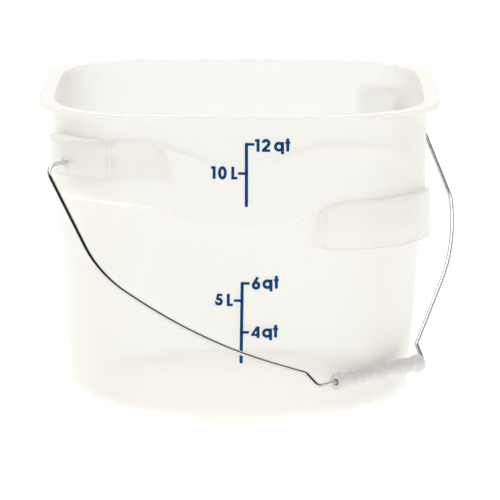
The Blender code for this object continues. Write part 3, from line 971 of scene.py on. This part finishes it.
def bright_steel():
    """Drawn stainless wire, with fine lines along it."""
    finish, tree, shader = new_material("bright_steel")
    lines = noise(tree, 14, 3, "UV", (1, 0.15, 1))
    coloured(tree, shader, lines, STEEL_COLOURS)
    tree.links.new(ranged(tree, lines, 0.1, 0.2), shader.inputs["Roughness"])
    bumped(tree, shader, lines, 0.1, 0.0001)
    shader.inputs["Metallic"].default_value = 1
    return finish


def grip_plastic():
    """Off-white moulded plastic with a fine satin grain."""
    finish, tree, shader = new_material("grip_plastic")
    cloud = ranged(tree, noise(tree, 90, 3), 0, 1)
    coloured(tree, shader, cloud, GRIP_COLOURS)
    tree.links.new(ranged(tree, noise(tree, 60, 2), 0.24, 0.3), shader.inputs["Roughness"])
    shader.inputs["Specular IOR Level"].default_value = 0.6
    bumped(tree, shader, noise(tree, 700, 3), 0.05, 0.0002)
    shader.inputs["Subsurface Weight"].default_value = 0.1
    shader.inputs["Subsurface Radius"].default_value = (1.0, 0.9, 0.85)
    shader.inputs["Subsurface Scale"].default_value = 0.0015
    return finish


def blue_ink():
    """Dark blue printing ink, a little uneven."""
    finish, tree, shader = new_material("blue_ink")
    speckle = ranged(tree, noise(tree, 1500, 2), 0, 1)
    coloured(tree, shader, speckle, INK_COLOURS)
    shader.inputs["Roughness"].default_value = 0.6
    shader.inputs["Specular IOR Level"].default_value = 0.1
    return finish


def dress(piece, material, body, slot, *nodes):
    """Gives a piece its material and its body, and hides the nodes that it replaces; the slot is not used."""
    piece.data.materials.clear()
    piece.data.materials.append(material)
    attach(piece, body)
    if nodes:
        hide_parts(*nodes)


# The stage


def white_where_seen(tree, shown_as, plain):
    """Uses one shader where the camera, gloss or glass sees the surface, and another for its light."""
    path = tree.nodes.new("ShaderNodeLightPath")
    seen = combined(tree, "MAXIMUM", path.outputs["Is Camera Ray"], path.outputs["Is Glossy Ray"])
    seen = combined(tree, "MAXIMUM", seen, path.outputs["Is Transmission Ray"])
    mix = tree.nodes.new("ShaderNodeMixShader")
    tree.links.new(seen, mix.inputs["Fac"])
    tree.links.new(plain, mix.inputs[1])
    tree.links.new(shown_as, mix.inputs[2])
    return mix.outputs[0]


def glowing_white(tree, reflected, glow):
    """A white surface that reflects some light and gives off some of its own."""
    paper = tree.nodes.new("ShaderNodeBsdfDiffuse")
    paper.inputs["Color"].default_value = (reflected, reflected, reflected, 1)
    light = tree.nodes.new("ShaderNodeEmission")
    light.inputs["Strength"].default_value = glow
    both = tree.nodes.new("ShaderNodeAddShader")
    tree.links.new(paper.outputs[0], both.inputs[0])
    tree.links.new(light.outputs[0], both.inputs[1])
    return both.outputs[0]


def pale_floor():
    """The surface that the pail stands on, white to the eye but for a faint shadow."""
    shape = bmesh.new()
    bmesh.ops.create_grid(shape, x_segments=1, y_segments=1, size=PALE_FLOOR_HALF_SIZE)
    floor = placed("floor", finished(shape, "floor"))
    floor.location.z = -PALE_FLOOR_DROP
    finish = bpy.data.materials.new("pale_floor")
    finish.use_nodes = True
    tree = finish.node_tree
    tree.nodes.clear()
    out = tree.nodes.new("ShaderNodeOutputMaterial")
    seen = glowing_white(tree, SEEN_FLOOR_REFLECTION, SEEN_FLOOR_GLOW)
    plain = glowing_white(tree, PALE_FLOOR_REFLECTION, PALE_FLOOR_GLOW)
    tree.links.new(white_where_seen(tree, seen, plain), out.inputs["Surface"])
    floor.data.materials.append(finish)


def surround():
    """The room: soft light that is stronger from above, and white where it is seen."""
    world = bpy.data.worlds.new("studio")
    bpy.context.scene.world = world
    world.use_nodes = True
    tree = world.node_tree
    tree.nodes.clear()
    direction = tree.nodes.new("ShaderNodeTexCoord")
    parts = tree.nodes.new("ShaderNodeSeparateXYZ")
    tree.links.new(direction.outputs["Generated"], parts.inputs["Vector"])
    strength = ROOM_LIGHT
    for axis, gain in zip("XYZ", ROOM_LEAN):
        strength = combined(tree, "MULTIPLY_ADD", parts.outputs[axis], gain, strength)
    plain = tree.nodes.new("ShaderNodeBackground")
    tree.links.new(strength, plain.inputs["Strength"])
    path = tree.nodes.new("ShaderNodeLightPath")
    off_middle = combined(tree, "ABSOLUTE", parts.outputs["X"])
    dimming = spread(tree, off_middle, WHITE_STRIP_HALF_SHARE, DIM_FROM_SHARE, 0, -GLOSS_DIMMING)
    white = combined(tree, "MULTIPLY_ADD", path.outputs["Is Glossy Ray"], dimming, 1)
    shown = tree.nodes.new("ShaderNodeBackground")
    tree.links.new(white, shown.inputs["Strength"])
    out = tree.nodes.new("ShaderNodeOutputWorld")
    tree.links.new(white_where_seen(tree, shown.outputs[0], plain.outputs[0]), out.inputs["Surface"])


def flag():
    """A black curtain round the front, almost half the way round, that only gloss mirrors."""
    shape = bmesh.new()
    low, high = [], []
    for step in range(FLAG_STEPS + 1):
        turn = HALF_TURN + math.radians(FLAG_FROM + (FLAG_TO - FLAG_FROM) * step / FLAG_STEPS)
        x, y = FLAG_REACH * math.cos(turn), FLAG_REACH * math.sin(turn)
        low.append(shape.verts.new((x, y, 0)))
        high.append(shape.verts.new((x, y, FLAG_HEIGHT)))
    for index in range(FLAG_STEPS):
        shape.faces.new((low[index], low[index + 1], high[index + 1], high[index]))
    curtain = placed("flag", finished(shape, "flag"))
    finish, tree, shader = new_material("black_cloth")
    shader.inputs["Base Color"].default_value = (0.004, 0.004, 0.004, 1)
    shader.inputs["Roughness"].default_value = 1
    curtain.data.materials.append(finish)
    curtain.visible_camera = False
    curtain.visible_diffuse = False
    curtain.visible_transmission = False
    curtain.visible_shadow = False


def softbox(name, place, aim, width, height, power, mirrored):
    """A rectangular lamp that points at a place."""
    lamp = bpy.data.lights.new(name, "AREA")
    lamp.shape = "RECTANGLE"
    lamp.size = width
    lamp.size_y = height
    lamp.energy = power
    thing = placed(name, lamp)
    thing.location = place
    thing.rotation_euler = (Vector(aim) - Vector(place)).to_track_quat("-Z", "Y").to_euler()
    thing.visible_glossy = mirrored


def camera():
    """The camera, placed by its target, distance, elevation and small roll."""
    lens = bpy.data.cameras.new("camera")
    lens.lens = CAMERA_LENS
    lens.sensor_width = CAMERA_SENSOR
    lens.sensor_fit = "HORIZONTAL"
    lens.clip_start = CAMERA_CLIP_START
    lens.clip_end = CAMERA_CLIP_END
    back = Vector((0, -math.cos(CAMERA_ELEVATION), math.sin(CAMERA_ELEVATION)))
    right = Vector((1, 0, 0))
    up = back.cross(right)
    rolled_right = right * math.cos(CAMERA_ROLL) + up * math.sin(CAMERA_ROLL)
    rolled_up = up * math.cos(CAMERA_ROLL) - right * math.sin(CAMERA_ROLL)
    thing = placed("camera", lens)
    turn = Matrix((rolled_right, rolled_up, back)).transposed().to_4x4()
    thing.matrix_world = Matrix.Translation(CAMERA_TARGET + back * CAMERA_DISTANCE) @ turn
    bpy.context.scene.camera = thing


def main():
    """Sets the camera, models and dresses the pail, and sets the stage round it."""
    camera()
    dress(pail_shell(), milky_plastic(), "pail_body", "pail_plastic", "pail_body")
    dress(printed_marks(), blue_ink(), "pail_body", "pail_plastic")
    dress(bail_wire(), bright_steel(), "bail", "bright_wire", "bail")
    dress(turned_grip(), grip_plastic(), "grip", "grip_plastic", "grip")
    pale_floor()
    surround()
    flag()
    for values in SOFTBOXES:
        softbox(*values)
    bpy.context.scene.view_settings.view_transform = "Standard"
    bpy.context.scene.cycles.transparent_max_bounces = TRANSPARENT_BOUNCES


main()
